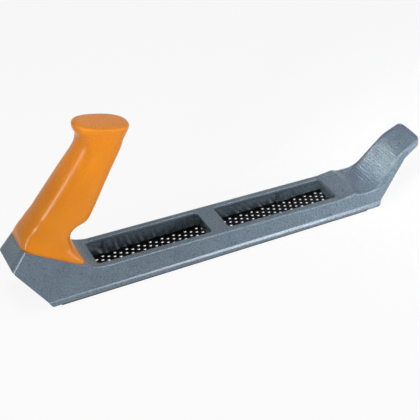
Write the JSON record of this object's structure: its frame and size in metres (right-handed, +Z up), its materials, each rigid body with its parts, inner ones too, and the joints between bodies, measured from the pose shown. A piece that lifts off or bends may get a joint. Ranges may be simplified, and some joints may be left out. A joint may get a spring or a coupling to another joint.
{
  "type": "rasp plane",
  "caption": "Hand rasp plane: open channel casting with an upright leaning grip, a turned-up toe rest and a perforated rasp blade held by a screw clamp at the toe.",
  "frame": {"origin": "middle of the tool's length and width, at the level of the tooth tips", "axes": "+X along the blade towards the toe rest, +Y to the left seen from the handle, +Z up out of the work"},
  "size_m": [0.3347, 0.0446, 0.1311],
  "materials": {
    "casting_paint": "blue-grey paint with a fine mottle on a light alloy die casting",
    "handle_plastic": "smooth orange moulding, satin gloss",
    "fixing_steel": "bright zinc plated",
    "insert_brass": "turned",
    "blade_steel": "blackened spring steel, bright at the tooth edges",
    "spring_steel": "dark phosphated spring steel",
    "clamp_steel": "sawn and deburred steel bar"
  },
  "bodies": {
    "body": {"body_casting": "casting_paint", "handle": "handle_plastic", "rear_handle_screw": "fixing_steel", "front_handle_screw": "fixing_steel", "rear_handle_washer": "fixing_steel", "front_handle_washer": "fixing_steel", "rear_handle_insert": "insert_brass", "front_handle_insert": "insert_brass", "anchor_stud": "fixing_steel", "tension_washer": "fixing_steel"},
    "blade": {"rasp_blade": "blade_steel"},
    "screw": {"tension_screw": "fixing_steel", "retaining_ring": "spring_steel"},
    "block": {"tension_block": "clamp_steel", "tension_nut": "fixing_steel"}
  },
  "joints": [
    {"name": "tension_screw_turn", "type": "hinge", "parent": "body", "child": "screw", "pos_m": [0.11, 0, 0.0078], "axis": [1, 0, 0], "range_deg": [0, 1440]},
    {"name": "tension_block_travel", "type": "slide", "parent": "body", "child": "block", "axis": [-1, 0, 0], "range_m": [0, 0.0032]},
    {"name": "blade_release", "type": "slide", "parent": "body", "child": "blade", "axis": [0, 0, -1], "range_m": [0, 0.024]}
  ],
  "couplings": [
    {"joint": "tension_screw_turn", "follows": "tension_block_travel", "rad_per_m": 7853.9}
  ]
}
